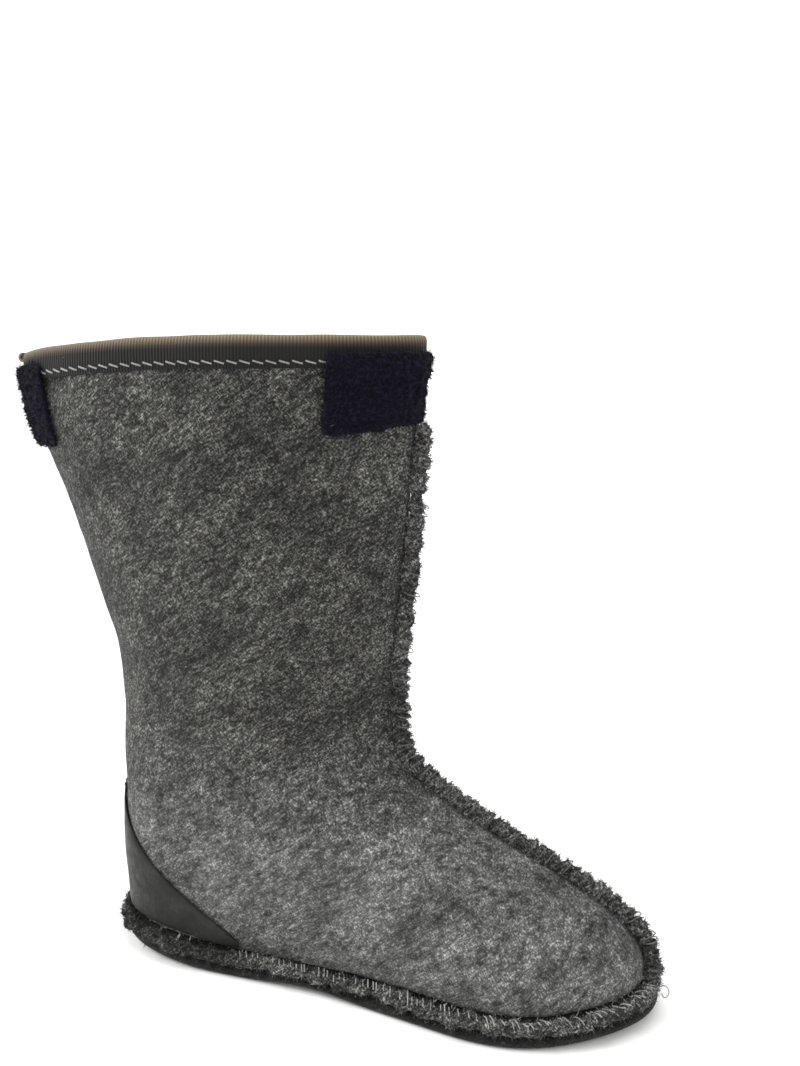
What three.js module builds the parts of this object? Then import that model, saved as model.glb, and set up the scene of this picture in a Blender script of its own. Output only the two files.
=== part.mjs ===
// Wool felt boot liner: the soft inner boot that slips inside a rubber boot.
// Two felt side panels meet at a raised seam up the front, a padded sole closes the foot,
// a leather counter guards the heel, a ribbed tape binds the collar and two loop-pile
// patches hold the liner in its boot.
// Millimetres, +Z up, +X towards the toe. The origin is on the floor under the heel.

import * as THREE from 'three';
import { mergeVertices } from 'three/addons/utils/BufferGeometryUtils.js';

// Driving dimensions
const HEEL_SEAT = 40;          // measuring line behind the heel to the heel's flat spot
const WALL = 4;                // felted knit with its pile backing
const GAP = 0.35;              // room between pieces that touch
const AROUND = 48;             // facets around one horizontal section

const SEAM_HEIGHT = 11;        // where the upper meets the sole, along the waist and ball
const HEEL_RISE = 5.5;         // how much higher that line runs round the heel
const TOE_SPRING = 3;          // and at the toe tip
const HEEL_RISE_SPAN = [75, 15];
const TOE_SPRING_SPAN = [215, 262];

const RIM_HEIGHT = 295;        // collar edge at its highest, from the middle of the shaft on
const RIM_DIP = 8;             // fall of the collar edge at RIM_REACH behind that place
const RIM_CENTRE = 85;
const RIM_REACH = 125;
const RIM_BLEND = 236;         // height from which the levels start to follow the collar edge
const SEAM_BLEND = 60;         // height up to which the levels still follow the sole seam

const SOLE_SEAT = 8;           // inside of the sole above the floor
const SOLE_REACH = 6.2;        // ledge of the sole under its seam
const HEEL_ROUND_SPAN = [64, 16]; // where the sole's lower edge turns up round the heel
const ARCH_RISE = 2.5;         // hollow under the waist
const ARCH_SPAN = [85, 115, 145];

const FLANGE = 5.5;            // height of the sole seam below the line it follows
const FLANGE_REACH = 7.2;      // how far the sole seam stands out
const FIN_HEIGHT = 7.4;        // how far the front seam stands up
const FIN_WIDTH = 6.2;
const FIN_GAP = 0.5;            // room under the front seam, where the ridge bends

const COUNTER_THICK = 1.5;
const COUNTER_FOOT = 2.4;      // counter's lower edge above the sole seam line

const BINDING_OUT = 13;        // binding's outer leg
const BINDING_IN = 10;         // binding's inner leg
const TAPE = 1.3;

const PATCH_THICK = 2.4;
const PATCH_TOP = 5.5;         // patch's top edge below the collar edge
const PATCH_STEP = 5;          // length of its step up on to the binding's leg

// Horizontal sections of the outside of the upper. back and front are distances from the
// measuring line behind the heel, heel to ball are half widths at the stations below, and backR and
// frontR are the radii of the section's two ends.
const SECTIONS = [
  { z: 9, back: 7, front: 261, backR: 30, heel: 30.5, waist: 32, tread: 39.5, ball: 45, frontR: 26 },
  { z: 20, back: 6.5, front: 261, backR: 31, heel: 31.5, waist: 33.5, tread: 40.5, ball: 45.5, frontR: 25 },
  { z: 30, back: 6, front: 259, backR: 31, heel: 32, waist: 35, tread: 40.5, ball: 44, frontR: 21 },
  { z: 40, back: 5, front: 251, backR: 31, heel: 32, waist: 36, tread: 39, ball: 41, frontR: 15 },
  { z: 54, back: 4.5, front: 230, backR: 30, heel: 32, waist: 37, tread: 38, ball: 35.5, frontR: 11 },
  { z: 64, back: 4.5, front: 209, backR: 29, heel: 32, waist: 37.5, tread: 37.5, ball: 31.5, frontR: 9 },
  { z: 77, back: 4.5, front: 184, backR: 27, heel: 31.5, waist: 38, tread: 36, ball: 28.5, frontR: 8 },
  { z: 90, back: 4.5, front: 163, backR: 25, heel: 31, waist: 38, tread: 35.5, ball: 27.5, frontR: 8 },
  { z: 102, back: 4.5, front: 148, backR: 24, heel: 30, waist: 38, tread: 35.5, ball: 27, frontR: 8 },
  { z: 115, back: 4.5, front: 143, backR: 23, heel: 29.5, waist: 38, tread: 36, ball: 27, frontR: 8 },
  { z: 146, back: 3, front: 143, backR: 21, heel: 30, waist: 39, tread: 37, ball: 28, frontR: 8 },
  { z: 192, back: -13, front: 148, backR: 18, heel: 31, waist: 40, tread: 38, ball: 29, frontR: 8 },
  { z: 236, back: -30, front: 152, backR: 17, heel: 32, waist: 40.5, tread: 38.5, ball: 29, frontR: 8 },
  { z: 262, back: -42, front: 154, backR: 16, heel: 32, waist: 40, tread: 38, ball: 28.5, frontR: 8 },
  { z: 296, back: -44, front: 157, backR: 16, heel: 31.5, waist: 39, tread: 37, ball: 28, frontR: 8 },
];
// Shares of a section's length
const STATIONS = { heel: 0.16, waist: 0.42, tread: 0.62, ball: 0.79 };

// Heights at which the upper is cut into rings
const LEVELS = [11, 16, 22, 29, 36, 43, 50, 57, 64, 71, 78, 85, 92, 99, 106, 115,
  128, 146, 168, 192, 216, 238, 256, 272, 284, RIM_HEIGHT];

// Top edge of the heel counter: height at each distance from the measuring line
const COUNTER_EDGE = [
  { x: 4, z: 86 },
  { x: 16, z: 69 },
  { x: 40, z: 44 },
  { x: 78, z: 15.5 },
];

const FRONT_PATCH = { leadX: 120, lowBack: 253, lowFront: 259 };
const REAR_PATCH = { leadX: -4, lowBack: 246, lowFront: 245 };

// Smooth curve through a table; steady keeps it from overshooting its rows
function through(xs, ys, steady = true) {
  const n = xs.length;
  const run = xs.slice(1).map((x, i) => x - xs[i]);
  const slope = ys.slice(1).map((y, i) => (y - ys[i]) / run[i]);
  const tangent = ys.map((_, i) => {
    if (i === 0) return slope[0];
    if (i === n - 1) return slope[n - 2];
    if (!steady) {
      return (slope[i - 1] * run[i] + slope[i] * run[i - 1]) / (run[i] + run[i - 1]);
    }
    if (slope[i - 1] * slope[i] <= 0) return 0;
    const before = 2 * run[i] + run[i - 1];
    const after = run[i] + 2 * run[i - 1];
    return (before + after) / (before / slope[i - 1] + after / slope[i]);
  });
  return (x) => {
    let i = 0;
    while (i < n - 2 && x > xs[i + 1]) i += 1;
    const t = THREE.MathUtils.clamp((x - xs[i]) / run[i], 0, 1);
    const t2 = t * t;
    const t3 = t2 * t;
    return (2 * t3 - 3 * t2 + 1) * ys[i] + (t3 - 2 * t2 + t) * run[i] * tangent[i]
      + (3 * t2 - 2 * t3) * ys[i + 1] + (t3 - t2) * run[i] * tangent[i + 1];
  };
}

const column = (rows, key, name) => through(rows.map((r) => r[key]), rows.map((r) => r[name]));

const sectionColumn = Object.fromEntries(
  ['back', 'front', 'backR', ...Object.keys(STATIONS), 'frontR']
    .map((name) => [name, column(SECTIONS, 'z', name)]),
);
const counterEdge = column(COUNTER_EDGE, 'x', 'z');
const ease = (x, from, to) => THREE.MathUtils.smoothstep((x - from) / (to - from), 0, 1);

// Height of the line where upper and sole are sewn together
function seamHeight(x) {
  return SEAM_HEIGHT + HEEL_RISE * ease(x, ...HEEL_RISE_SPAN)
    + TOE_SPRING * ease(x, ...TOE_SPRING_SPAN);
}

function rimHeight(x) {
  return RIM_HEIGHT - RIM_DIP * (Math.max(0, RIM_CENTRE - x) / RIM_REACH) ** 2;
}

// Point on the outside of the upper: phi is 0 at the back, PI at the front seam
function skin(phi, z) {
  const s = Object.fromEntries(
    Object.entries(sectionColumn).map(([name, at]) => [name, at(z)]),
  );
  const half = (s.front - s.back) / 2;
  const u = (1 - Math.cos(phi)) / 2;
  const round = (share) => 2 * Math.sqrt(share * (1 - share));
  const width = through(
    [0, ...Object.values(STATIONS), 1],
    [
      Math.sqrt(s.backR * half),
      ...Object.entries(STATIONS).map(([name, share]) => s[name] / round(share)),
      Math.sqrt(s.frontR * half),
    ],
    false,
  );
  return new THREE.Vector3(s.back + 2 * half * u, -Math.sin(phi) * width(u), z);
}

// Outward direction of the upper; flat keeps it level, as at the sole and the collar
function outward(phi, z, flat = false) {
  const step = 0.01;
  const rise = 0.5;
  const along = skin(phi + step, z).sub(skin(phi - step, z));
  const up = skin(phi, z + rise).sub(skin(phi, z - rise));
  if (flat) up.set(0, 0, 1);
  return along.cross(up).normalize();
}

const offset = (phi, z, out, flat) => skin(phi, z).addScaledVector(outward(phi, z, flat), out);

// A ring's nominal level, bent to follow the sole seam below and the collar edge above
function levelAt(phi, level) {
  const { x } = skin(phi, level);
  const low = (seamHeight(x) - SEAM_HEIGHT) * (1 - ease(level, SEAM_HEIGHT, SEAM_BLEND));
  const high = (rimHeight(x) - RIM_HEIGHT) * ease(level, RIM_BLEND, RIM_HEIGHT);
  return level + low + high;
}

const angles = (count) => Array.from({ length: count }, (_, i) => (2 * Math.PI * i) / count);
const spread = (from, to, count) => (
  Array.from({ length: count }, (_, i) => THREE.MathUtils.lerp(from, to, i / (count - 1)))
);

function solid(points, triangles) {
  const geometry = new THREE.BufferGeometry();
  geometry.setAttribute('position', new THREE.Float32BufferAttribute(
    points.flatMap((p) => [p.x, p.y, p.z]),
    3,
  ));
  geometry.setIndex(triangles.flat());
  return mergeVertices(geometry, 1e-4);
}

// Closed solid between two grids of rows. ring joins each row's ends; core marks a last
// row that already closes on itself along a centreline.
function shell(outer, inner, { ring = false, core = false } = {}) {
  const rows = outer.length;
  const cols = outer[0].length;
  const points = [...outer.flat(), ...inner.flat()];
  const at = (side, r, c) => side * rows * cols + r * cols + (c % cols);
  const faces = [];
  const quad = (a, b, c, d) => faces.push([a, b, c], [a, c, d]);
  const spans = ring ? cols : cols - 1;
  for (let r = 0; r < rows - 1; r += 1) {
    for (let c = 0; c < spans; c += 1) {
      quad(at(0, r, c), at(0, r, c + 1), at(0, r + 1, c + 1), at(0, r + 1, c));
      quad(at(1, r, c), at(1, r + 1, c), at(1, r + 1, c + 1), at(1, r, c + 1));
    }
    if (!ring) {
      quad(at(0, r, 0), at(0, r + 1, 0), at(1, r + 1, 0), at(1, r, 0));
      const e = cols - 1;
      quad(at(0, r, e), at(1, r, e), at(1, r + 1, e), at(0, r + 1, e));
    }
  }
  for (let c = 0; c < spans; c += 1) {
    quad(at(0, 0, c), at(1, 0, c), at(1, 0, c + 1), at(0, 0, c + 1));
    if (!core) {
      const r = rows - 1;
      quad(at(0, r, c), at(0, r, c + 1), at(1, r, c + 1), at(1, r, c));
    }
  }
  return solid(points, faces);
}

// Closed solid through a row of loops; closed joins the last loop to the first
function loft(loops, closed) {
  const n = loops[0].length;
  const points = loops.flat();
  const faces = [];
  const spans = closed ? loops.length : loops.length - 1;
  for (let i = 0; i < spans; i += 1) {
    const j = (i + 1) % loops.length;
    for (let k = 0; k < n; k += 1) {
      const m = (k + 1) % n;
      faces.push([i * n + k, j * n + k, j * n + m], [i * n + k, j * n + m, i * n + m]);
    }
  }
  if (!closed) {
    const last = (loops.length - 1) * n;
    for (let k = 1; k < n - 1; k += 1) {
      faces.push([0, k, k + 1], [last, last + k + 1, last + k]);
    }
  }
  return solid(points, faces);
}

const boot = new THREE.Group();
boot.position.x = -HEEL_SEAT;

function piece(name, geometry, color, roughness) {
  const material = new THREE.MeshStandardMaterial({ color, roughness, metalness: 0 });
  const mesh = new THREE.Mesh(geometry, material);
  mesh.name = name;
  boot.add(mesh);
}

// Upper: one hollow wall, open at the collar and underneath
function upper() {
  const last = LEVELS.length - 1;
  const wall = (depth) => LEVELS.map((level, row) => angles(AROUND).map((phi) => (
    offset(phi, levelAt(phi, level), -depth, row === 0 || row === last)
  )));
  return shell(wall(0), wall(WALL), { ring: true });
}

// Sole: a pad whose edge stands out as a ledge under the sole seam, with a rim that turns
// up to the upper; flat under heel and ball, hollow under the waist
function sole() {
  const above = [
    { out: SOLE_REACH, heelIn: 2.5, rim: 1, drop: FLANGE + GAP },
    { out: 0, rim: 1, drop: FLANGE + GAP },
    { out: 0, rim: 1, drop: GAP },
    { inset: 0.14, rim: 0.3 },
    { inset: 0.5, rim: 0 },
    { inset: 1, rim: 0 },
  ];
  const below = [
    { out: SOLE_REACH, heelIn: 2.5, lift: 1.8, heelLift: 4.5 },
    { out: SOLE_REACH - 1.4, heelIn: 4, lift: 0.5, heelLift: 2 },
    { out: SOLE_REACH - 3.2, heelIn: 7, lift: 0 },
    { inset: 0.14, lift: 0 },
    { inset: 0.5, lift: 0 },
    { inset: 1, lift: 0 },
  ];
  const centre = (SECTIONS[0].back + SECTIONS[0].front) / 2;
  const underside = (x) => ARCH_RISE * ease(x, ARCH_SPAN[0], ARCH_SPAN[1])
    * (1 - ease(x, ARCH_SPAN[1], ARCH_SPAN[2])) + TOE_SPRING * ease(x, ...TOE_SPRING_SPAN);
  const place = (phi, row) => {
    const base = skin(phi, seamHeight(skin(phi, SEAM_HEIGHT).x));
    const inset = row.inset ?? 0;
    const heel = ease(base.x, ...HEEL_ROUND_SPAN);
    const reach = (row.out ?? 0) - heel * (row.heelIn ?? 0);
    const point = base.clone().addScaledVector(outward(phi, base.z, true), reach);
    point.x = THREE.MathUtils.lerp(point.x, centre, 0.16 * inset);
    point.y *= 1 - inset;
    const seat = SOLE_SEAT + underside(point.x);
    point.z = row.rim === undefined
      ? underside(point.x) + row.lift + heel * (row.heelLift ?? 0)
      : THREE.MathUtils.lerp(seat, base.z - (row.drop ?? GAP), row.rim);
    return point;
  };
  const grid = (rows) => rows.map((row) => angles(AROUND).map((phi) => place(phi, row)));
  return shell(grid(above), grid(below), { ring: true, core: true });
}

// Sole seam: the seam allowance of upper and sole, turned out and overlocked all round
function soleSeam() {
  const profile = [
    { out: GAP, up: -FLANGE },
    { out: 0.8 * FLANGE_REACH, up: -FLANGE },
    { out: 0.97 * FLANGE_REACH, up: -0.75 * FLANGE },
    { out: FLANGE_REACH, up: -0.3 * FLANGE },
    { out: 0.86 * FLANGE_REACH, up: 0.4 },
    { out: 0.5 * FLANGE_REACH, up: 1.3 },
    { out: 0.15 * FLANGE_REACH, up: 0.6 },
    { out: GAP, up: -1 },
  ];
  const loops = angles(AROUND).map((phi) => {
    const base = skin(phi, seamHeight(skin(phi, SEAM_HEIGHT).x));
    const out = outward(phi, base.z, true);
    return profile.map((p) => (
      base.clone().addScaledVector(out, p.out).add(new THREE.Vector3(0, 0, p.up))
    ));
  });
  return loft(loops, true);
}

// Front seam: the panels' edges stood up together, from the front patch to the toe
function frontSeam() {
  const top = FRONT_PATCH.lowFront - 1;
  const toe = seamHeight(SECTIONS[0].front) + 2.2;
  const profile = [
    { side: 0.42, out: FIN_GAP },
    { side: 0.5, out: 0.4 * FIN_HEIGHT },
    { side: 0.38, out: 0.8 * FIN_HEIGHT },
    { side: 0, out: FIN_HEIGHT },
    { side: -0.38, out: 0.8 * FIN_HEIGHT },
    { side: -0.5, out: 0.4 * FIN_HEIGHT },
    { side: -0.42, out: FIN_GAP },
  ];
  // The same heights as the upper's rings, so that both bend at the same places
  const rings = LEVELS.map((level) => levelAt(Math.PI, level));
  const heights = [toe, ...rings.filter((z) => z > toe + 1 && z < top - 1), top];
  const loops = heights.map((z) => {
    const base = skin(Math.PI, z);
    const out = outward(Math.PI, z);
    return profile.map((p) => (
      base.clone().addScaledVector(out, p.out).add(new THREE.Vector3(0, p.side * FIN_WIDTH, 0))
    ));
  });
  return loft(loops, false);
}

// Angle at which a section at height z reaches the distance x from the measuring line
function angleOf(x, z) {
  const back = sectionColumn.back(z);
  const share = (x - back) / (sectionColumn.front(z) - back);
  return Math.acos(1 - 2 * THREE.MathUtils.clamp(share, 0, 1));
}

// Sheet laid on the upper: phi values across it and, for each, the heights of its rows
function overlay(phis, rows, under, thick) {
  const lines = phis.map((phi) => rows(phi));
  const grid = (depth) => lines[0].map((_, row) => phis.map((phi, i) => {
    const z = lines[i][row];
    return offset(phi, z, under(phi, z) + depth);
  }));
  return shell(grid(thick), grid(0));
}

// Heel counter: leather over the heel, highest at the back, its edges falling to the seam
function heelCounter() {
  const reach = angleOf(COUNTER_EDGE.at(-1).x, SEAM_HEIGHT);
  const rows = (phi) => {
    const { x } = skin(phi, SEAM_HEIGHT);
    const low = seamHeight(x) + COUNTER_FOOT;
    return spread(low, Math.max(low + COUNTER_THICK, counterEdge(x)), 8);
  };
  return overlay(spread(-reach, reach, 27), rows, () => GAP, COUNTER_THICK);
}

// Collar binding: ribbed tape folded over the collar edge
function collarBinding() {
  const outer = GAP + TAPE;
  const inner = -WALL - GAP - TAPE;
  const profile = [
    { out: GAP, up: -BINDING_OUT },
    { out: outer, up: -BINDING_OUT },
    { out: outer, up: -0.5 * BINDING_OUT },
    { out: outer, up: 0.2 },
    { out: outer - TAPE, up: GAP + TAPE },
    { out: inner + TAPE, up: GAP + TAPE },
    { out: inner, up: 0.2 },
    { out: inner, up: -BINDING_IN },
    { out: inner + TAPE, up: -BINDING_IN },
    { out: -WALL - GAP, up: GAP },
    { out: GAP, up: GAP },
    { out: GAP, up: -0.5 * BINDING_OUT },
  ];
  const loops = angles(AROUND).map((phi) => {
    const rim = levelAt(phi, RIM_HEIGHT);
    return profile.map((p) => {
      const below = Math.min(p.up, 0);
      const point = offset(phi, rim + below, p.out, true);
      point.z += p.up - below;
      return point;
    });
  });
  return loft(loops, true);
}

// Loop-pile patch wrapped round the front or the back of the collar, over the binding's leg
function patch(size, middle) {
  const reach = Math.abs(middle - angleOf(size.leadX, RIM_BLEND));
  const rim = (phi) => levelAt(phi, RIM_HEIGHT);
  const step = (phi) => [rim(phi) - BINDING_OUT - PATCH_STEP, rim(phi) - BINDING_OUT - 1];
  const under = (phi, z) => GAP + (TAPE + GAP) * ease(z, ...step(phi));
  const rows = (phi) => {
    const turn = Math.abs(phi - middle) / reach;
    const low = THREE.MathUtils.lerp(size.lowFront, size.lowBack, turn);
    return [...spread(low, step(phi)[0], 4), ...spread(step(phi)[1], rim(phi) - PATCH_TOP, 3)];
  };
  return overlay(spread(middle - reach, middle + reach, 21), rows, under, PATCH_THICK);
}

piece('sole', sole(), 0x2e2e2d, 0.95);
piece('upper', upper(), 0x5c5c5a, 0.98);
piece('sole_seam', soleSeam(), 0x4a4a4a, 0.95);
piece('front_seam', frontSeam(), 0x464746, 0.95);
piece('heel_counter', heelCounter(), 0x3c3d3d, 0.55);
piece('collar_binding', collarBinding(), 0x2c2928, 0.8);
piece('front_patch', patch(FRONT_PATCH, Math.PI), 0x1b1730, 0.98);
piece('rear_patch', patch(REAR_PATCH, 0), 0x1b1730, 0.98);

export default boot;
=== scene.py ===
# %% [markdown]
# # A wool-felt boot liner
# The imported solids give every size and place. This script dresses them: napped felt, wool
# seams with thread over them, leather at the heel, a ribbed tape and two loop-pile patches.

# %% Load the frame
import math

import bmesh
import bpy
import numpy as np
from mathutils import Matrix, Vector, noise
from mathutils.bvhtree import BVHTree


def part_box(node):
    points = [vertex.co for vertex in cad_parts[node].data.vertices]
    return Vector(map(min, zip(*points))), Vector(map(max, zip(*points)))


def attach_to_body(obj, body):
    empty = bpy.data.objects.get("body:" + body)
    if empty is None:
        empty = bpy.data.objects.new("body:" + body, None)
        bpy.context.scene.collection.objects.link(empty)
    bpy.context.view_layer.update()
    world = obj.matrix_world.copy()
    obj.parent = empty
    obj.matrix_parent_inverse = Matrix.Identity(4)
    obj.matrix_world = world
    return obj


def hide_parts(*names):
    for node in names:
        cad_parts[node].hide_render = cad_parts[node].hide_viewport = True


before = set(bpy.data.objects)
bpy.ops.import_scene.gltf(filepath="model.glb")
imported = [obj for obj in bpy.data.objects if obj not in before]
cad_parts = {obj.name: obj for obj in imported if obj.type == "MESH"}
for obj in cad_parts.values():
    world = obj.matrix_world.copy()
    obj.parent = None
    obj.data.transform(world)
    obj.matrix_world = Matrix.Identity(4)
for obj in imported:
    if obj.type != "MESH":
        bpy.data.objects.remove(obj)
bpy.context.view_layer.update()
MM = 0.001
UP = Vector((0, 0, 1))
rng = np.random.default_rng(7)
print("nodes:", sorted(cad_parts))

# %% [markdown]
# ## The camera
# The camera stands where the photograph was taken: at collar height, a little in front of
# the liner's side and looking slightly down. With the sensor on the long side of a portrait
# picture, a focal length in pixels becomes a lens length by one ratio. The Standard view
# keeps white paper white and dark wool dark, as a plain product photograph does.

# %% Camera
SENSOR = 36.0
PHOTO_HEIGHT = 1066
FOCAL_PIXELS = 1117
CAMERA_PLACE = Vector((262, -469.8, 290)) * MM
CAMERA_TARGET = Vector((106, 0, 209)) * MM

lens_data = bpy.data.cameras.new("photo_camera")
lens_data.sensor_width = SENSOR
lens_data.lens = SENSOR * FOCAL_PIXELS / PHOTO_HEIGHT
camera = bpy.data.objects.new("photo_camera", lens_data)
camera.location = CAMERA_PLACE
camera.rotation_euler = (CAMERA_TARGET - CAMERA_PLACE).to_track_quat("-Z", "Y").to_euler()
bpy.context.collection.objects.link(camera)
bpy.context.scene.camera = camera
bpy.context.scene.view_settings.view_transform = "Standard"
print("lens", round(lens_data.lens, 2))

# %% [markdown]
# ## Small tools for materials
# Each material is a Principled shader fed by procedural noise. One function adds a node and
# one turns a screen colour into the linear colour that the shader expects. Pattern sizes
# are given in millimetres, so the grain keeps its real scale on every piece.

# %% Material tools
def linear(hex_colour):
    values = [int(hex_colour[i:i + 2], 16) / 255 for i in (1, 3, 5)]
    return [v / 12.92 if v <= 0.04045 else ((v + 0.055) / 1.055) ** 2.4 for v in values] + [1]


def add(tree, kind, links=(), inputs=(), **settings):
    node = tree.nodes.new(kind)
    for key, value in settings.items():
        setattr(node, key, value)
    for key, value in dict(inputs).items():
        node.inputs[key].default_value = value
    for key, source in dict(links).items():
        tree.links.new(source, node.inputs[key])
    return node


def material(name, roughness, sheen=0.0, specular=0.3):
    made = bpy.data.materials.new(name)
    made.use_nodes = True
    shader = made.node_tree.nodes["Principled BSDF"]
    shader.inputs["Roughness"].default_value = roughness
    shader.inputs["Sheen Weight"].default_value = sheen
    shader.inputs["Sheen Roughness"].default_value = 0.6
    shader.inputs["Specular IOR Level"].default_value = specular
    return made, made.node_tree, shader


def coords(tree):
    return add(tree, "ShaderNodeTexCoord").outputs["Object"]


def grain(tree, size_mm, stretch=(1, 1, 1), turn=(0, 0, 0), detail=3.0):
    """Noise whose features are size_mm across, drawn out by stretch along turned axes."""
    turned = add(tree, "ShaderNodeMapping", {"Vector": coords(tree)}, {"Rotation": turn})
    scale = [1 / (size_mm * MM * s) for s in stretch]
    sized = add(
        tree, "ShaderNodeMapping", {"Vector": turned.outputs["Vector"]}, {"Scale": scale},
    )
    made = add(
        tree, "ShaderNodeTexNoise", {"Vector": sized.outputs["Vector"]},
        {"Scale": 1.0, "Detail": detail, "Roughness": 0.6},
    )
    return made.outputs["Fac"]


def ramp(tree, factor, stops):
    node = add(tree, "ShaderNodeValToRGB", {"Fac": factor})
    elements = node.color_ramp.elements
    while len(elements) < len(stops):
        elements.new(0.5)
    for element, (place, colour) in zip(elements, stops):
        element.position = place
        element.color = linear(colour)
    return node.outputs["Color"]


def spread(tree, factor, low, high, start=0.0, end=1.0):
    node = add(
        tree, "ShaderNodeMapRange", {"Value": factor},
        {"From Min": start, "From Max": end, "To Min": low, "To Max": high},
    )
    return node.outputs["Result"]


def scaled(tree, colour, factor):
    node = add(
        tree, "ShaderNodeVectorMath", {"Vector": colour, "Scale": factor}, operation="SCALE",
    )
    return node.outputs["Vector"]


def raised(tree, shader, layers):
    """Stacks bumps: each layer is a height output and its depth in millimetres."""
    normal = None
    for height, depth in layers:
        links = {"Height": height}
        if normal is not None:
            links["Normal"] = normal
        node = add(
            tree, "ShaderNodeBump", links, {"Strength": 1.0, "Distance": depth * MM},
        )
        normal = node.outputs["Normal"]
    tree.links.new(normal, shader.inputs["Normal"])


# %% [markdown]
# ## Felt, wool, leather, tape and pile
# Heathered felt is a blend of dark and pale fibres, so its colour is a ramp over a stretched
# noise that leans like the knit. Two slower noises make the clouds that felting leaves,
# and the height above the floor paints light and shade: the foot, which tilts up to the lamp,
# is painted paler and the shaft is painted darker.

# %% Felt and wool materials
LEAN = (0, math.radians(38), 0)  # how the fibres lean
ANKLE = (0.065, 0.125)  # heights between which the foot's tone turns into the shaft's
COUNTER_END = (0.03, 0.042)  # where the sole seam's dark heel stretch ends
CLOUD_MM = 4
DRIFT_MM = 22
VEIL_GREY = linear("#4e4f52")


def wool(name, stops, fleck_mm, depth, foot=1.0, shaft=1.0, heel=1.0, veil=0.0):
    """Flecked wool: foot and shaft paint light and shade by height, heel darkens it towards the
    back, and veil mixes an even grey into the foot.
    """
    made, tree, shader = material(name, 0.95, sheen=0.06, specular=0.1)
    fleck = grain(tree, fleck_mm, (2.8, 1.3, 0.7), LEAN, detail=5)
    cross = grain(tree, fleck_mm * 0.8, (0.8, 1.3, 1.8), LEAN, detail=3)
    both = add(tree, "ShaderNodeMath", {0: fleck, 1: cross}, operation="ADD").outputs[0]
    colour = ramp(tree, spread(tree, both, 0, 1, 0.7, 1.3), stops)
    cloud = spread(tree, grain(tree, CLOUD_MM, (1.6, 1, 0.8), LEAN), 0.38, 1.68, 0.3, 0.7)
    slow = spread(tree, grain(tree, DRIFT_MM, (1.4, 1, 0.8), LEAN), 0.55, 1.52, 0.3, 0.7)
    place = add(tree, "ShaderNodeSeparateXYZ", {"Vector": coords(tree)}).outputs
    # Painted light and shade: the foot is painted paler and the shaft darker, between the ANKLE
    # heights.
    tone = spread(tree, place["Z"], foot, shaft, *ANKLE)
    back = spread(tree, place["X"], heel, 1, *COUNTER_END)
    toned = colour
    if veil:
        share = spread(tree, place["Z"], veil, 0, *ANKLE)
        mixed = add(
            tree, "ShaderNodeMix", {0: share, 6: colour}, {7: VEIL_GREY}, data_type="RGBA",
        )
        toned = mixed.outputs[2]
    for strength in (cloud, slow, tone, back):
        toned = scaled(tree, toned, strength)
    tree.links.new(toned, shader.inputs["Base Color"])
    raised(tree, shader, [(both, depth), (grain(tree, 0.5), depth * 0.4)])
    return made


# Heathered wool felt, fulled and napped: matt and flecked, with a soft pale edge.
HEATHER = [(0.05, "#0f0f0e"), (0.36, "#30302e"), (0.62, "#5d5d59"), (0.95, "#a6a6a0")]
# foot and shaft here paint light on the foot and shade on the shaft.
felt = wool("heathered_wool_felt", HEATHER, 0.95, 0.6, foot=1.1, shaft=0.54, veil=0.4)
# Cut felt edges under overlock thread: deeper and a little darker than the panels.
SEAM = [(0.1, "#131313"), (0.4, "#323231"), (0.65, "#5a5a57"), (0.9, "#9e9e99")]
seam_wool = wool("overlocked_wool", SEAM, 1.1, 0.7)
flange_wool = wool("whipped_sole_wool", SEAM, 1.1, 0.7, heel=0.45)
# Brushed wool pile: pale, deep and without shine.
PILE = [(0.1, "#55554f"), (0.4, "#85857f"), (0.7, "#a9a9a3"), (0.9, "#cfcfc9")]
pile = wool("wool_pile_lining", PILE, 2.4, 1.6)
# Pressed black felt: close and flat, with hardly a fleck.
SOLE = [(0.1, "#0d0d0d"), (0.5, "#1c1c1c"), (0.9, "#343434")]
sole_felt = wool("black_sole_felt", SOLE, 0.8, 0.3)
wools = [felt, seam_wool, flange_wool, pile, sole_felt]
print("wool materials:", [each.name for each in wools])

# %% [markdown]
# Leather has a fine cell grain with soft shine. The tape's ribs come from an attribute that
# holds the distance along the collar, so they stay square to the edge all the way round.

# %% Leather, tape, loop pile and thread materials
# Grained leather with a dark finish: a soft, broken shine over fine cells.
counter_leather, tree, shader = material("dark_counter_leather", 0.5, specular=0.22)
cells = add(
    tree, "ShaderNodeTexVoronoi", {"Vector": coords(tree)}, {"Scale": 1 / (1.1 * MM)},
)
tint = ramp(tree, grain(tree, 9), [(0.3, "#141413"), (0.55, "#1e1e1d"), (0.75, "#302f2d")])
tree.links.new(tint, shader.inputs["Base Color"])
rough = spread(tree, grain(tree, 5), 0.42, 0.62, 0.3, 0.7)
tree.links.new(rough, shader.inputs["Roughness"])
raised(tree, shader, [(cells.outputs["Distance"], 0.12), (grain(tree, 6), 0.4)])

# Woven polyester tape, ribbed across: dark faces, a lit brown painted on the fold as a painted
# highlight, and painted shade between the ribs.
RIB_PITCH = 1.5
tape, tree, shader = material("ribbed_collar_tape", 0.75, sheen=0.04, specular=0.2)
along = add(tree, "ShaderNodeAttribute", attribute_name="along").outputs["Fac"]
turns = add(
    tree, "ShaderNodeMath", {0: along}, {1: 2 * math.pi / (RIB_PITCH * MM)},
    operation="MULTIPLY",
)
rib = add(tree, "ShaderNodeMath", {0: turns.outputs[0]}, operation="SINE").outputs[0]
crown = add(tree, "ShaderNodeAttribute", attribute_name="crown").outputs["Fac"]
lit_fold_colour = ramp(tree, crown, [(0.36, "#151313"), (0.55, "#3a332c"), (0.9, "#796b57")])
# Each rib is painted lighter on its crest and darker in its trough: painted light and shade.
lit = scaled(tree, lit_fold_colour, spread(tree, rib, 0.6, 1.15, -1, 1))
tree.links.new(lit, shader.inputs["Base Color"])
raised(tree, shader, [(rib, 0.16), (grain(tree, 0.4), 0.1)])

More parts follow.
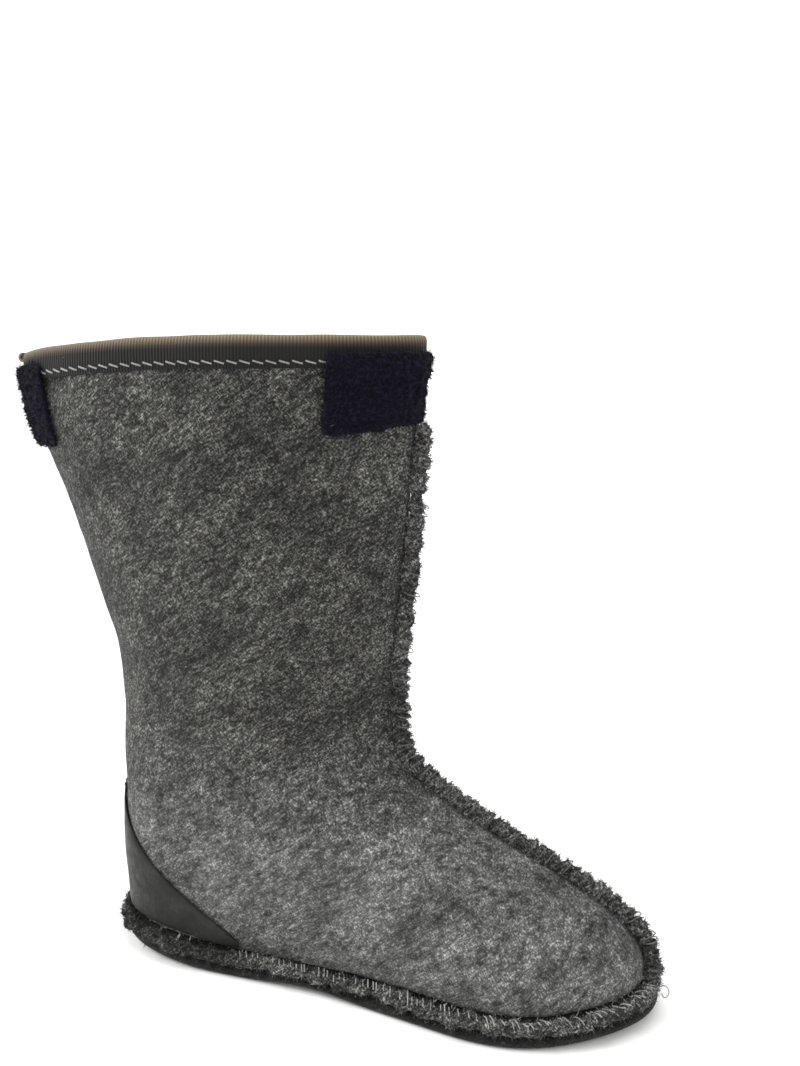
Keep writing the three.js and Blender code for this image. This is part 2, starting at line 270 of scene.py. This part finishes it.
# Nylon loop pile: a navy that swallows light and looks nearly black.
loop_pile, tree, shader = material("navy_loop_pile", 0.95, sheen=0.03, specular=0.05)
NAVY = [(0.25, "#050508"), (0.5, "#0d0c15"), (0.75, "#221d38")]
tree.links.new(ramp(tree, grain(tree, 1.4), NAVY), shader.inputs["Base Color"])
raised(tree, shader, [(grain(tree, 1.2), 0.9), (grain(tree, 0.4), 0.3)])


def thread(name, dark, pale):
    """Spun polyester thread: its twist shows as fine slanting bands with a slight shine."""
    made, tree, shader = material(name, 0.7, sheen=0.2)
    twist = grain(tree, 0.5, (1, 1, 2.5), LEAN)
    tree.links.new(ramp(tree, twist, [(0.3, dark), (0.7, pale)]), shader.inputs["Base Color"])
    raised(tree, shader, [(twist, 0.1)])
    return made


pale_thread = thread("pale_polyester_thread", "#595955", "#989892")
grey_thread = thread("grey_overlock_thread", "#2f2f2e", "#6e6e6b")
whip_yarn = thread("grey_whip_yarn", "#6a6a67", "#b4b4b0")
dark_thread = thread("black_upholstery_thread", "#101010", "#2f2f2e")

# %% [markdown]
# ## Tools for pieces
# A piece often starts as a copy of its solid: the copy is welded, its triangles are paired
# into quads and subdivision rounds it. Other pieces come from a bmesh or a curve. Each ends
# as one smooth mesh at the origin that rides on the part's only body.

# %% Piece tools
def attach(piece, slot, *nodes):
    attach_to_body(piece, "root")
    if nodes:
        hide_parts(*nodes)
    print(piece.name, len(piece.data.polygons), "faces")


def finished(name, mesh, materials):
    """A smooth-shaded object in the scene, made of the given materials."""
    mesh.materials.clear()
    for each in materials:
        mesh.materials.append(each)
    mesh.polygons.foreach_set("use_smooth", [True] * len(mesh.polygons))
    piece = bpy.data.objects.new(name, mesh)
    bpy.context.collection.objects.link(piece)
    return piece


def new_piece(name, verts, faces, *materials):
    mesh = bpy.data.meshes.new(name)
    mesh.from_pydata([tuple(v) for v in verts], [], faces)
    return finished(name, mesh, materials)


def shaped(name, bm, *materials):
    """One piece from a finished bmesh."""
    mesh = bpy.data.meshes.new(name)
    bm.to_mesh(mesh)
    bm.free()
    return finished(name, mesh, materials)


def baked(drawn, *materials):
    """One plain mesh from an object, with its modifiers or its bevel worked in."""
    seen = drawn.evaluated_get(bpy.context.evaluated_depsgraph_get())
    mesh = bpy.data.meshes.new_from_object(seen)
    mesh.name = name = drawn.name
    bpy.data.objects.remove(drawn)
    return finished(name, mesh, materials)


def rounded_copy(name, node, levels, *materials):
    bm = bmesh.new()
    bm.from_mesh(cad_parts[node].data)
    bmesh.ops.remove_doubles(bm, verts=bm.verts, dist=1e-6)
    bmesh.ops.join_triangles(
        bm, faces=bm.faces, angle_face_threshold=0.9, angle_shape_threshold=2.0,
    )
    mesh = bpy.data.meshes.new(name)
    bm.to_mesh(mesh)
    bm.free()
    drawn = bpy.data.objects.new(name, mesh)
    bpy.context.collection.objects.link(drawn)
    rounding = drawn.modifiers.new("rounding", "SUBSURF")
    rounding.levels = rounding.render_levels = levels
    return baked(drawn, *materials)


# %% [markdown]
# Soft wool is never even. A piece's points are read into an array, moved along their normals
# by smooth noise and written back. Numbers for a material to read are stored point by point.
# A ray tree of a solid, or of a dressed piece, tells where its surface is.

# %% Moving points and finding surfaces
def read(piece, what):
    values = np.empty(len(piece.data.vertices) * 3)
    piece.data.vertices.foreach_get(what, values)
    return values.reshape(-1, 3)


def write(piece, places):
    piece.data.vertices.foreach_set("co", places.ravel())
    piece.data.update()


def stored(piece, name, values):
    """Keeps one number for each point, for a material to read."""
    layer = piece.data.attributes.new(name, "FLOAT", "POINT")
    layer.data.foreach_set("value", values)


def roughen(piece, size_mm, depth_mm, lift=0.0, facing=None):
    """Moves each point along its normal by smooth noise, for lumps and soft unevenness."""
    places, normals = read(piece, "co"), read(piece, "normal")
    if facing is not None:
        normals = normals * facing[:, None]
    scale = 1 / (size_mm * MM)
    lumps = np.array([noise.noise(Vector(p) * scale) + lift for p in places])
    write(piece, places + normals * lumps[:, None] * depth_mm * MM)


def solid_tree(*nodes):
    verts, faces = [], []
    for node in nodes:
        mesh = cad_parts[node].data
        start = len(verts)
        verts += [v.co.copy() for v in mesh.vertices]
        faces += [[start + i for i in p.vertices] for p in mesh.polygons]
    return BVHTree.FromPolygons(verts, faces)


def skin_tree(piece):
    mesh = piece.data
    return BVHTree.FromPolygons(
        [v.co.copy() for v in mesh.vertices], [list(p.vertices) for p in mesh.polygons],
    )


# %% [markdown]
# A thread is a curve with a round bevel: Blender sweeps the circle along the line, and the
# line's corners are cut until it reads as a curve. Hairs are too many for that, so each is a
# ribbon of five points, and one array holds them all.

# %% Threads and fuzz
def tubes(name, lines, radius_mm, made_of):
    """Threads: one curve with a round bevel along each line, made a mesh."""
    curve = bpy.data.curves.new(name, "CURVE")
    curve.dimensions = "3D"
    curve.bevel_depth = radius_mm * MM
    curve.bevel_resolution = 1
    curve.use_fill_caps = True
    for line in lines:
        spline = curve.splines.new("POLY")
        spline.points.add(len(line) - 1)
        for point, place in zip(spline.points, line):
            point.co = (*place, 1)
    drawn = bpy.data.objects.new(name, curve)
    bpy.context.collection.objects.link(drawn)
    return baked(drawn, made_of)


def softened(line, rounds=2):
    """Cuts the corners of a line until it reads as a curve."""
    for _ in range(rounds):
        cut = [line[0]]
        for a, b in zip(line, line[1:]):
            cut += [a.lerp(b, 0.25), a.lerp(b, 0.75)]
        line = cut + [line[-1]]
    return line


def fuzz(name, piece, count, length_mm, width_mm, made_of, lean=0.9, keep=None):
    """Tapering, curling ribbons rooted at random on a piece, or on the faces that keep picks."""
    mesh = piece.data
    mesh.calc_loop_triangles()
    corners = np.array([t.vertices[:] for t in mesh.loop_triangles])
    if keep is not None:
        corners = corners[keep(mesh)]
    places, normals = read(piece, "co"), read(piece, "normal")
    a, b, c = (places[corners[:, k]] for k in range(3))
    area = np.linalg.norm(np.cross(b - a, c - a), axis=1)
    pick = rng.choice(len(corners), count, p=area / area.sum())
    u, v = np.sqrt(rng.random(count)), rng.random(count)
    mix = np.stack([1 - u, u * (1 - v), u * v], axis=1)
    root = np.einsum("nk,nkj->nj", mix, places[corners[pick]])
    out = np.einsum("nk,nkj->nj", mix, normals[corners[pick]])
    aim = out + rng.normal(0, lean, (count, 3)) * 0.7
    aim /= np.linalg.norm(aim, axis=1)[:, None]
    aim += out * 0.25
    curl = rng.normal(0, 0.8, (count, 3))
    size = length_mm * MM * rng.uniform(0.4, 1.0, (count, 1))
    middle = root + aim * size * 0.55
    tip = middle + (aim + curl) * size * 0.45
    flat = np.cross(aim, rng.normal(0, 1, (count, 3)))
    flat *= width_mm * MM / 2 / np.linalg.norm(flat, axis=1)[:, None]
    verts = np.stack([root - flat, root + flat, middle + flat, middle - flat, tip], axis=1)
    faces = []
    for i in range(count):
        s = 5 * i
        faces += [(s, s + 1, s + 2, s + 3), (s + 3, s + 2, s + 4)]
    return new_piece(name, verts.reshape(-1, 3), faces, made_of)


# %% [markdown]
# ## The upper
# Two felt panels make one soft wall. Felt this thick doesn't crumple: it takes wide, shallow
# folds where the leg bends and behind the ankle, so each fold is a soft trough along a short
# line. Faces that look into the liner are found by casting a ray from each: it meets the far
# wall or the sole. Those faces are the lining and get the wool pile. Both faces of the
# wall move the same way, so a fold bends the felt and doesn't thin it.

# %% Upper with folds and lining
FOLDS = [  # start, end, width and depth in millimetres
    {"start": (-42, -2, 160), "end": (2, -36, 142), "width": 12, "depth": 0.7},
    {"start": (-46, -2, 174), "end": (-4, -37, 160), "width": 12, "depth": -0.5},
    {"start": (104, -14, 116), "end": (56, -38, 106), "width": 10, "depth": 1.8},
    {"start": (-30, -20, 118), "end": (20, -36, 104), "width": 12, "depth": 1.4},
    {"start": (70, -38, 250), "end": (40, -40, 170), "width": 22, "depth": 1.6},
]
upper = rounded_copy("felt_upper", "upper", 2, felt, pile)
closed = solid_tree("upper", "sole")
for face in upper.data.polygons:
    met = closed.ray_cast(face.center + face.normal * MM, face.normal)[0]
    face.material_index = int(met is not None)
facing = np.ones(len(upper.data.vertices))
for face in upper.data.polygons:
    if face.material_index:
        facing[list(face.vertices)] = -1
places, normals = read(upper, "co"), read(upper, "normal") * facing[:, None]
for fold in FOLDS:
    for side in (1, -1):
        start = np.array(fold["start"]) * MM * (1, side, 1)
        run = np.array(fold["end"]) * MM * (1, side, 1) - start
        share = np.clip((places - start) @ run / (run @ run), 0, 1)
        gap = np.linalg.norm(places - start - share[:, None] * run, axis=1)
        soft = np.exp(-((gap / (fold["width"] * MM)) ** 2))
        places = places - normals * (soft * fold["depth"] * MM)[:, None]
write(upper, places)
roughen(upper, 45, 1.1, facing=facing)
roughen(upper, 9, 0.25, facing=facing)
attach(upper, "wool_felt", "upper")

# %% [markdown]
# ## The sole
# The sole is a flat pad of black felt. Its solid already has the outline, the arch and the
# toe spring, so a gentle rounding is enough.

# %% Sole
sole = rounded_copy("black_sole_pad", "sole", 2, sole_felt)
attach(sole, "sole_felt", "sole")

# %% [markdown]
# ## Following the sole seam
# The flange runs all round the foot. Rays cast inwards from outside find its outermost
# point at each step, and those points make a path for the thread. The same idea gives the
# ridge of the front seam and the edge of the collar. Wool swells between two stitches, so
# a second tool pushes a seam in and out along such a path.

# %% Paths along the seams
RAY_START = 0.3


def outermost(solid, centre, way, heights):
    best = None
    for z in heights:
        start = Vector((centre[0], centre[1], z)) + way * RAY_START
        hit = solid.ray_cast(start, -way)[0]
        if hit is None:
            continue
        if best is None or (hit - best).dot(way) > 0:
            best = hit
    return best


def even(points, step_mm, closed_path):
    """The same path with its points step_mm apart."""
    line = [Vector(p) for p in points] + ([Vector(points[0])] if closed_path else [])
    array = np.array(line)
    length = np.concatenate([[0], np.cumsum(np.linalg.norm(np.diff(array, axis=0), axis=1))])
    count = max(2, round(length[-1] / (step_mm * MM)))
    marks = np.linspace(0, length[-1], count, endpoint=not closed_path)
    return [Vector([np.interp(m, length, array[:, k]) for k in range(3)]) for m in marks]


def bulged(piece, path, pitch_mm, depth_mm):
    """Wool swells between two stitches and is drawn in under each of them."""
    array = np.array(path)
    gaps = np.linalg.norm(np.diff(array, axis=0), axis=1)
    along = np.concatenate([[0], np.cumsum(gaps)]) / (pitch_mm * MM)
    along = np.array([a + 0.5 * noise.noise(Vector((a * 0.6, 0, 0))) for a in along])
    places, normals = read(piece, "co"), read(piece, "normal")
    nearest = [int(np.argmin(((array - p) ** 2).sum(axis=1))) for p in places]
    swell = np.abs(np.sin(math.pi * along[nearest])) - 0.65
    write(piece, places + normals * swell[:, None] * depth_mm * MM)


# %% [markdown]
# Seen from above, the sole is close to two round ends joined by two sides. The rays come in
# round the toe, along one side, round the heel and back along the other side.

# %% Edge of the sole seam
HEEL_X, TOE_X = 0.0, 0.172
LEVELS = 28
ROUND_STEPS = 40
SIDE_STEPS = 50
flange_solid = solid_tree("sole_seam")
low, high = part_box("sole_seam")
levels = np.linspace(low[2] + 0.5 * MM, high[2] - 0.5 * MM, LEVELS)
stations = []
for turn in np.linspace(-math.pi / 2, math.pi / 2, ROUND_STEPS):
    stations.append(((TOE_X, 0), Vector((math.cos(turn), math.sin(turn), 0))))
for x in np.linspace(TOE_X, HEEL_X, SIDE_STEPS)[1:-1]:
    stations.append(((x, 0), Vector((0, 1, 0))))
for turn in np.linspace(math.pi / 2, 3 * math.pi / 2, ROUND_STEPS):
    stations.append(((HEEL_X, 0), Vector((math.cos(turn), math.sin(turn), 0))))
for x in np.linspace(HEEL_X, TOE_X, SIDE_STEPS)[1:-1]:
    stations.append(((x, 0), Vector((0, -1, 0))))
edge = [outermost(flange_solid, centre, way, levels) for centre, way in stations]
edge = [p for p in edge if p is not None]
print("flange edge points:", len(edge))

# %% [markdown]
# ## The sole seam
# Upper and sole are laid edge to edge and overlocked, so the seam is a lumpy roll of wool.
# It could be modelled lump by lump, but the solid already has its course, so its copy is
# swollen between the stitches and roughened. Round the heel it hangs a little lower.

# %% Roll of the sole seam
DROOP_END = 40
DROOP_SPAN = 16
DROOP = 1.6
flange = rounded_copy("overlocked_sole_seam", "sole_seam", 2, flange_wool)
places = read(flange, "co")
heel = np.clip((DROOP_END - places[:, 0] / MM) / DROOP_SPAN, 0, 1)
reach = np.clip(np.abs(places[:, 1]) / MM / 36, 0, 1)
places[:, 2] -= heel * reach * DROOP * MM
write(flange, places)
bulged(flange, even(edge, 0.6, True), 6.5, 1.5)
roughen(flange, 8, 2.4, -0.2)
roughen(flange, 3, 1.0)
attach(flange, "overlock_wool", "sole_seam")

# %% [markdown]
# Slanting whip stitches hold the roll. Each climbs out of the groove and lies over the top
# of the wool, so its points are dropped on the roll by rays from above. They start in front
# of the leather, and one loose end curls out at the toe.

# %% Whip stitches
WHIP_PITCH = 2.8
WHIP = [  # out and up from the flange's outermost line, and slant along it, in millimetres
    {"out": -6.8, "up": 1.6, "slant": -1.4},
    {"out": -5.2, "up": 3.4, "slant": -0.5},
    {"out": -3.4, "up": 3.7, "slant": 0.5},
    {"out": -1.6, "up": 2.4, "slant": 1.4},
]
WHIP_START = 36
THREAD_LIFT = 0.15


def across(path, shape, closed_path, out_of, skin=None, dropped=0.2, rounds=0):
    """Stitches over a seam: the same few points at each step, laid on a skin from above."""
    lines = []
    for i, point in enumerate(path):
        before = path[i - 1] if closed_path else path[max(i - 1, 0)]
        after = path[(i + 1) % len(path)] if closed_path else path[min(i + 1, len(path) - 1)]
        ahead = (after - before).normalized()
        out, up = out_of(ahead)
        sway, swell = rng.normal(0, 0.6), rng.normal(0, 0.4)
        line = []
        for row in shape:
            aside = out * (row["out"] + swell) + up * row["up"]
            place = point + (aside + ahead * (row["slant"] + sway)) * MM
            hit = skin.ray_cast(place + UP * 0.02, -UP, 0.03)[0] if skin else None
            line.append(hit + UP * THREAD_LIFT * MM if hit else place)
        if rng.random() > dropped:
            lines.append(softened(line, rounds))
    return lines


flange_skin = skin_tree(flange)
flange_path = even(edge, WHIP_PITCH, True)
whips = across(
    flange_path, WHIP, True, lambda ahead: (ahead.cross(UP).normalized(), UP),
    skin=flange_skin, rounds=1,
)
whips = [line for line in whips if line[0].x > WHIP_START * MM]
TAIL = [(-1, 0, 0), (2, -1, 2), (4, -2, 1), (4, -4, -1), (2, -5, -2), (1, -3, -1)]
toe_tip = max(edge, key=lambda p: p.x)
whips.append(softened([toe_tip + Vector(p) * MM for p in TAIL], 2))
whip_thread = tubes("sole_whip_stitches", whips, 0.3, whip_yarn)
attach(whip_thread, "overlock_wool")

# %% [markdown]
# Where the leather ends, the row of stitches starts in a small knot of wool at each side. A
# roughened ball, half sunk into the roll, is enough for one.

# %% Knots at the ends of the whip stitches
KNOT_X = 36
KNOT_RADIUS = 2.6
bm = bmesh.new()
for side in (-1, 1):
    row = [p for p in flange_path if p.y * side > 0]
    spot = min(row, key=lambda p: abs(p.x - KNOT_X * MM))
    place = spot + Vector((0, -side * 2.2, 2.0)) * MM
    bmesh.ops.create_icosphere(
        bm, subdivisions=3, radius=KNOT_RADIUS * MM, matrix=Matrix.Translation(place),
    )
knots = shaped("seam_end_knots", bm, flange_wool)
roughen(knots, 3, 2.4)
attach(knots, "overlock_wool")

# %% [markdown]
# ## The front seam
# The panels' edges stand up together from the collar to the toe, held by overlock thread.
# Seen from a point in front of the ankle the whole ridge is in sight, so rays from there
# trace it. The wool edge curls between the stitches, which the lumps and fuzz show. The
# rounding lifts the seam's root off the felt, so points near the felt are pulled back on it.

# %% Front seam
fin = rounded_copy("overlocked_front_seam", "front_seam", 3, seam_wool)
ROOT_REACH = 2.6
panels = solid_tree("upper")
rooted = read(fin, "co")
for i, place in enumerate(rooted):
    on_felt, _, _, away = panels.find_nearest(Vector(place))
    if away < ROOT_REACH * MM:
        pull = (1 - away / (ROOT_REACH * MM)) ** 0.5
        rooted[i] += (np.array(on_felt) - place) * min(1.0, 1.6 * pull)
write(fin, rooted)
LOOKOUT = Vector((330, 0, 330)) * MM
RIDGE_SWEEP = (math.radians(180), math.radians(265))
RIDGE_RAYS = 220
fin_solid = solid_tree("front_seam")
ridge = []
for turn in np.linspace(*RIDGE_SWEEP, RIDGE_RAYS):
    hit = fin_solid.ray_cast(LOOKOUT, Vector((math.cos(turn), 0, math.sin(turn))))[0]
    if hit is not None:
        ridge.append(hit)
print("ridge points:", len(ridge))

LOOP_PITCH = 4.4
bulged(fin, even(ridge, 0.5, False), LOOP_PITCH, 2.0)
roughen(fin, 5, 1.6, -0.1)
roughen(fin, 2, 0.5)
attach(fin, "overlock_wool", "front_seam")

# %% [markdown]
# The overlock thread goes over the ridge in short loops, from the felt on one side to the
# felt on the other. The wool is drawn in under each loop, so both have the same pitch.

# %% Overlock thread of the front seam
LOOP = [  # to the side, and out from the ridge, in millimetres
    {"up": -3.3, "out": -5.6, "slant": -1.0},
    {"up": -3.6, "out": -3.2, "slant": -0.5},
    {"up": -2.5, "out": -0.6, "slant": 0.0},
    {"up": 0.0, "out": 0.6, "slant": 0.4},
    {"up": 2.5, "out": -0.6, "slant": 0.0},
    {"up": 3.6, "out": -3.2, "slant": -0.5},
    {"up": 3.3, "out": -5.6, "slant": -1.0},
]
SIDE = Vector((0, 1, 0))
loops = across(
    even(ridge, LOOP_PITCH, False), LOOP, False,
    lambda ahead: (ahead.cross(SIDE).normalized(), SIDE),
)
fin_thread = tubes("front_overlock_thread", loops, 0.26, grey_thread)
attach(fin_thread, "overlock_wool")

# %% [markdown]
# ## The heel counter
# A leather piece wraps the heel. Its free edge falls from the back towards the sole, and two
# rows of dark stitches follow it. The edge is given by a few heights, and rays towards the
# heel's middle put each stitch on the leather.

# %% Counter and its stitches
counter = rounded_copy("leather_heel_counter", "heel_counter", 2, counter_leather)
roughen(counter, 22, 0.35)
attach(counter, "counter_leather", "heel_counter")

EDGE_X = [-36, -24, 0, 38]
EDGE_Z = [86, 69, 44, 16]
ROW_DROPS = [3.2, 5.8]
COUNTER_SWEEP = (math.radians(60), math.radians(300))
COUNTER_RAYS = 160
COUNTER_STITCH = 1.8
counter_skin = skin_tree(counter)
stitches = []
for drop in ROW_DROPS:
    row = []
    for turn in np.linspace(*COUNTER_SWEEP, COUNTER_RAYS):
        way = Vector((math.cos(turn), math.sin(turn), 0))
        z, hit = 60.0, None
        for _ in range(4):
            hit = counter_skin.ray_cast(Vector((0, 0, z * MM)) + way * 0.2, -way)
            if hit[0] is None:
                break
            z = 0.5 * z + 0.5 * (np.interp(hit[0].x / MM, EDGE_X, EDGE_Z) - drop)
        if hit[0] is not None and hit[1].dot(way) > 0.6:
            row.append(hit[0] + hit[1] * 0.15 * MM)
    if len(row) > 2:
        path = even(row, COUNTER_STITCH, False)
        stitches += [[a, a.lerp(b, 0.5), b] for a, b in zip(path[::2], path[1::2])]
print("counter stitches:", len(stitches))
counter_thread = tubes("counter_stitches", stitches, 0.38, dark_thread)
attach(counter_thread, "counter_leather")

# %% [markdown]
# ## The collar binding
# A ribbed tape is folded over the edge and sewn through with slanting pale stitches. Each
# point of the tape stores how far along the collar it is, for the ribs, and how close to
# the fold, because the fold's top, where the light falls, is painted a lit brown that the
# dark faces don't get: a painted highlight.

# %% Binding with ribs and a painted highlight on the fold
COLLAR_X = 0.016
CROWN_DEPTH = 8.5
FOLD_IN = 3
COLLAR_RAYS = 240
binding = rounded_copy("ribbed_collar_binding", "collar_binding", 2, tape)
binding_solid = solid_tree("collar_binding")
low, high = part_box("collar_binding")
collar = []
for turn in np.linspace(math.pi, -math.pi, COLLAR_RAYS + 1)[:-1]:
    way = Vector((math.cos(turn), math.sin(turn), 0))
    heights = np.linspace(low[2] + 6 * MM, high[2] - 5 * MM, 6)
    collar.append(outermost(binding_solid, (COLLAR_X, 0), way, heights))
rim = even([Vector((p.x, p.y, high[2])) for p in collar if p is not None], 1.5, True)
array = np.array(rim)[:, :2]
places = read(binding, "co")
nearest = [int(np.argmin(((array - p[:2]) ** 2).sum(axis=1))) for p in places]
ahead = np.roll(array, -1, axis=0) - np.roll(array, 1, axis=0)
ahead /= np.linalg.norm(ahead, axis=1)[:, None]
slip = np.einsum("nk,nk->n", places[:, :2] - array[nearest], ahead[nearest])
step = np.linalg.norm(np.diff(array, axis=0), axis=1).mean()
along_values = np.array(nearest) * step + slip
stored(binding, "along", along_values)
inwards = Vector((COLLAR_X, 0, 0))
tops = []
for point in rim:
    step_in = Vector((inwards.x - point.x, inwards.y - point.y, 0))
    top = binding_solid.ray_cast(point + step_in.normalized() * FOLD_IN * MM + UP * 0.1, -UP)[0]
    tops.append(top.z if top is not None else point.z)
# The crown paints the fold's top a lit brown: a painted highlight.
below = np.array(tops)[nearest] - places[:, 2]
crowns = np.clip(1 - below / (CROWN_DEPTH * MM), 0, 1)
stored(binding, "crown", crowns)
roughen(binding, 18, 0.4)
attach(binding, "ribbed_tape", "collar_binding")
binding_skin = skin_tree(binding)

# %% [markdown]
# The stitches lie near the tape's lower edge. Each is three points at an even pitch along
# the collar, put on the tape by rays from outside, with the middle one a little proud.

# %% Collar stitches
LEG = 13
STITCH_PITCH = 5.6
STITCH_LENGTH = 4.4
STITCH_RISE = 1.2
pale = []
path = even(rim, STITCH_PITCH, True)
for i, point in enumerate(path):
    ahead = (path[(i + 1) % len(path)] - path[i - 1]).normalized()
    out = UP.cross(ahead).normalized()
    if out.dot(point - Vector((COLLAR_X, 0, point.z))) < 0:
        out = -out
    top = binding_solid.ray_cast(point - out * FOLD_IN * MM + UP * 0.1, -UP)[0]
    if top is None:
        continue
    line = []
    for share in (0.0, 0.5, 1.0):
        place = point + ahead * (share - 0.5) * STITCH_LENGTH * MM
        place.z = top.z + (STITCH_RISE * share - LEG + 0.8) * MM
        hit, facing = binding_skin.ray_cast(place + out * 0.05, -out)[:2]
        if hit is not None:
            line.append(hit + facing * (0.35 if share == 0.5 else 0.1) * MM)
    if len(line) == 3:
        pale.append(line)
print("collar stitches:", len(pale))
collar_thread = tubes("collar_zigzag_stitches", pale, 0.42, pale_thread)
attach(collar_thread, "ribbed_tape")

# %% [markdown]
# The tape's two ends meet at the back of the collar. The upper end is folded outwards and
# shows as a small roll, so an edge as wide as the tape is spun around the roll's axis.

# %% Rolled end of the tape
ROLL_WIDTH = 11
ROLL_RADIUS = 2.3
ROLL_TURN = math.radians(-250)
ROLL_THICKNESS = 1.2
ROLL_PAINTED_LIGHT = 0.8
last = min(rim, key=lambda p: p.x)
top = binding_solid.ray_cast(last + Vector((3, 0, 100)) * MM, -UP)[0]
centre = Vector((last.x - 0.8 * MM, 0, top.z - 1.6 * MM))
bm = bmesh.new()
ends = [
    bm.verts.new(centre + Vector((0, y, ROLL_RADIUS)) * MM)
    for y in (-ROLL_WIDTH / 2, ROLL_WIDTH / 2)
]
lip = bm.edges.new(ends)
bmesh.ops.spin(
    bm, geom=ends + [lip], cent=centre, axis=(0, 1, 0), angle=ROLL_TURN, steps=12,
)
bmesh.ops.recalc_face_normals(bm, faces=bm.faces)
bmesh.ops.solidify(bm, geom=bm.faces[:], thickness=ROLL_THICKNESS * MM)
bmesh.ops.recalc_face_normals(bm, faces=bm.faces)
roll = shaped("rolled_tape_end", bm, tape)
across_tape = read(roll, "co")[:, 1]
stored(roll, "along", across_tape)
# The whole roll gets most of the fold's lit brown: a painted highlight.
stored(roll, "crown", np.full(len(across_tape), ROLL_PAINTED_LIGHT))
attach(roll, "ribbed_tape")

# %% [markdown]
# ## The loop patches
# The soft half of a hook-and-loop fastener is a mat of tiny fibre loops. The mat is the
# rounded solid with a rough skin, and short curling fibres stand out from it. The front
# patch has come loose at its lower corner, so the points there are lifted off the felt.

# %% Patches
LOOSE_CORNER = (81, -34, 254)
CORNER_REACH = 9
CORNER_LIFT = 2.2
for name, node in (("front", "front_patch"), ("rear", "rear_patch")):
    patch = rounded_copy(f"loop_pile_{name}", node, 3, loop_pile)
    places, normals = read(patch, "co"), read(patch, "normal")
    away = np.linalg.norm(places - np.array(LOOSE_CORNER) * MM, axis=1)
    curl = np.exp(-((away / (CORNER_REACH * MM)) ** 2)) * CORNER_LIFT * MM
    out = normals * (1, 1, 0) * np.sign(normals[:, 1:2] * places[:, 1:2])
    write(patch, places + out * curl[:, None])
    roughen(patch, 3, 1.0)
    attach(patch, "loop_pile", node)
    loops = fuzz(f"loop_fibres_{name}", patch, 7000, 1.9, 0.28, loop_pile, lean=1.4)
    attach(loops, "loop_pile")

# %% [markdown]
# ## Fuzz
# Felt is never clean at its edge: stray fibres catch the light along the outline. Felt gets
# many short hairs and a few long ones, the wool of the seams gets tufts, and the lining a
# deep curly pile below the tape. A mask picks the outer or the inner faces of the wall.

# %% Fuzz on felt, seams and lining
PILE_TOP = 272


def wall_faces(inside):
    def pick(mesh):
        kept = []
        for triangle in mesh.loop_triangles:
            face = mesh.polygons[triangle.polygon_index]
            covered = inside and face.center.z > PILE_TOP * MM
            kept.append(face.material_index == inside and not covered)
        return np.array(kept)
    return pick


HAIRS = [(0.3, "#30302f"), (0.5, "#5c5c59"), (0.7, "#b4b4b0")]
# shaft paints shade on the hairs of the shaft, as on the felt.
felt_hair = wool("loose_felt_hair", HAIRS, 0.6, 0.05, foot=1.0, shaft=0.7)
nap = fuzz("felt_nap", upper, 26000, 1.6, 0.09, felt_hair, lean=1.5, keep=wall_faces(0))
attach(nap, "wool_felt")
strays = fuzz("stray_fibres", upper, 260, 6.0, 0.2, felt_hair, lean=3.0, keep=wall_faces(0))
attach(strays, "wool_felt")
locks = fuzz("lining_pile", upper, 22000, 4.5, 0.5, pile, lean=1.2, keep=wall_faces(1))
attach(locks, "wool_felt")
for piece, count in ((flange, 16000), (fin, 14000)):
    made_of = piece.data.materials[0]
    tufts = fuzz(piece.name + "_tufts", piece, count, 2.0, 0.26, made_of, lean=1.5)
    attach(tufts, "overlock_wool")

# %% [markdown]
# ## Floor and light
# The backdrop is one white sheet that curves up behind the liner, so no horizon shows. A
# large soft lamp hangs at the upper left, as in the photograph, with a weak fill opposite.

# %% Stage
BEND = 0.5
BACK = 1.2
SPAN = 5.0
FRONT = -4.0
profile = [(FRONT, 0.0), (BACK - BEND, 0.0)]
for turn in np.linspace(0, math.pi / 2, 13)[1:]:
    profile.append((BACK - BEND + BEND * math.sin(turn), BEND * (1 - math.cos(turn))))
profile.append((BACK, 2.6))
bm = bmesh.new()
side = [bm.verts.new((-SPAN, y, z)) for y, z in profile]
rail = [bm.edges.new(pair) for pair in zip(side, side[1:])]
made = bmesh.ops.extrude_edge_only(bm, edges=rail)["geom"]
other = [part for part in made if isinstance(part, bmesh.types.BMVert)]
bmesh.ops.translate(bm, verts=other, vec=(2 * SPAN, 0, 0))
bmesh.ops.recalc_face_normals(bm, faces=bm.faces)
white, tree, shader = material("white_paper", 0.9, specular=0.1)
paper = ramp(tree, grain(tree, 60), [(0.3, "#f4f4f3"), (0.7, "#fbfbfa")])
tree.links.new(paper, shader.inputs["Base Color"])
backdrop = shaped("paper_backdrop", bm, white)
print("backdrop faces:", len(backdrop.data.polygons))

# %% Lamps and world
LAMPS = [
    {"place": (-1.3, -0.5, 1.2), "size": 1.1, "watts": 30},
    {"place": (1.1, -0.9, 0.9), "size": 1.2, "watts": 8},
    {"place": (0.2, 0.1, 1.7), "size": 1.0, "watts": 12},
]
for i, row in enumerate(LAMPS):
    lamp = bpy.data.lights.new(f"soft_lamp_{i}", "AREA")
    lamp.size = row["size"]
    lamp.energy = row["watts"]
    light = bpy.data.objects.new(lamp.name, lamp)
    light.location = row["place"]
    aim = Vector((0.09, 0, 0.13)) - light.location
    light.rotation_euler = aim.to_track_quat("-Z", "Y").to_euler()
    bpy.context.collection.objects.link(light)

world = bpy.data.worlds.new("white_room")
world.use_nodes = True
world.node_tree.nodes["Background"].inputs["Color"].default_value = (1, 1, 1, 1)
world.node_tree.nodes["Background"].inputs["Strength"].default_value = 0.75
bpy.context.scene.world = world
print("lamps:", len(LAMPS))
